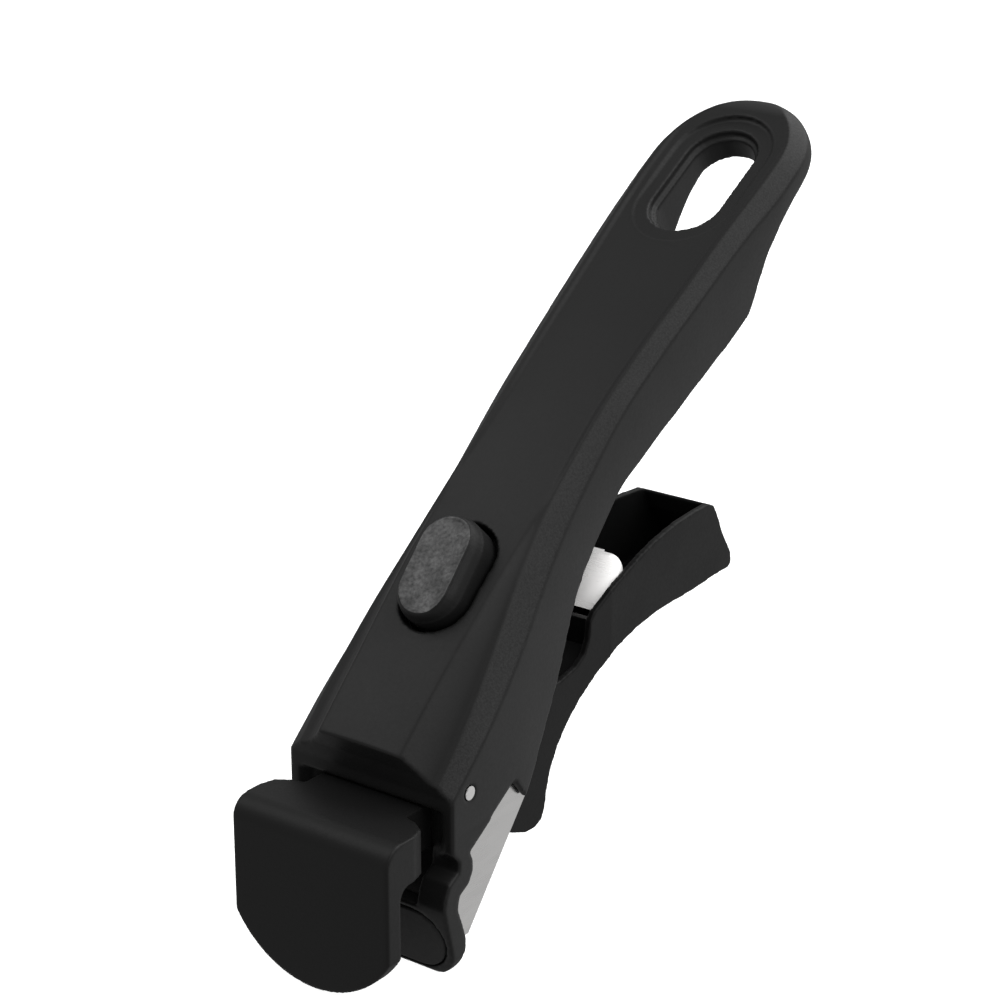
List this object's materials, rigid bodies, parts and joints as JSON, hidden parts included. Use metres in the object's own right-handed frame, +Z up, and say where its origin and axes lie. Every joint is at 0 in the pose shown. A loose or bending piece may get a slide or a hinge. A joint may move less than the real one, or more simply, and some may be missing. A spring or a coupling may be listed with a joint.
{
  "type": "detachable clamp-on pan handle",
  "caption": "Black clamp-on pan handle: sliding jaw worked by an over-centre lever, thumb button that frees the latch, and a hanging loop.",
  "frame": {"origin": "centre of the fixed jaw pad's face, where the outside of the pan wall rests", "axes": "+Z up, +Y from the clamp towards the hanging loop, X across the handle"},
  "size_m": [0.04, 0.1538, 0.1448],
  "materials": {
    "black_plastic": "fine satin moulded black plastic",
    "black_texture": "matte moulded black plastic, inner parts",
    "pad_rubber": "soft black pad",
    "steel": "satin stainless sheet",
    "bright_steel": "polished stainless",
    "spring_wire": "drawn spring wire",
    "nylon": "natural nylon"
  },
  "bodies": {
    "body": {"body_shell": "black_plastic", "jaw_pad": "pad_rubber", "chassis": "steel", "bulkhead": "black_texture", "cross_pin": "bright_steel", "chassis_screws": "steel", "slide_guides": "black_texture", "pivot_pin": "steel", "pivot_bushes": "nylon", "lever_spring": "spring_wire", "button_well": "black_texture", "button_spring": "spring_wire", "latch_pin": "steel", "latch_bracket": "black_texture", "latch_spring": "spring_wire", "rear_cover": "black_texture", "cover_screw": "steel"},
    "lever": {"lever_shell": "black_plastic", "lever_ribs": "black_texture", "strike_plate": "bright_steel", "strike_screws": "steel", "drive_pin": "steel", "drive_clips": "steel"},
    "jaw": {"jaw_cover": "black_plastic", "slide_plate": "steel"},
    "button": {"button": "black_plastic"},
    "latch": {"latch": "steel", "latch_claw": "bright_steel"}
  },
  "joints": [
    {"name": "lever_hinge", "type": "hinge", "parent": "body", "child": "lever", "pos_m": [0, 0.02255, 0.0365], "axis": [1, 0, 0], "range_deg": [0, 27], "stiffness_Nm_per_rad": 0.2, "springref_deg": -17.19, "deforming": ["latch_claw"]},
    {"name": "jaw_slide", "type": "slide", "parent": "body", "child": "jaw", "axis": [0, 1, 0], "range_m": [0, 0.00632]},
    {"name": "button_press", "type": "slide", "parent": "body", "child": "button", "axis": [0, 0.7302, -0.6833], "range_m": [0, 0.003], "stiffness_N_per_m": 500, "springref_m": -0.002, "deforming": ["button_spring"]},
    {"name": "latch_rock", "type": "hinge", "parent": "body", "child": "latch", "pos_m": [0, 0.05231, 0.0782], "axis": [1, 0, 0], "range_deg": [0, 5.85]}
  ],
  "couplings": [
    {"joint": "jaw_slide", "follows": "lever_hinge", "m_per_rad": 0.01337},
    {"joint": "latch_rock", "follows": "button_press", "rad_per_m": 33.8}
  ]
}
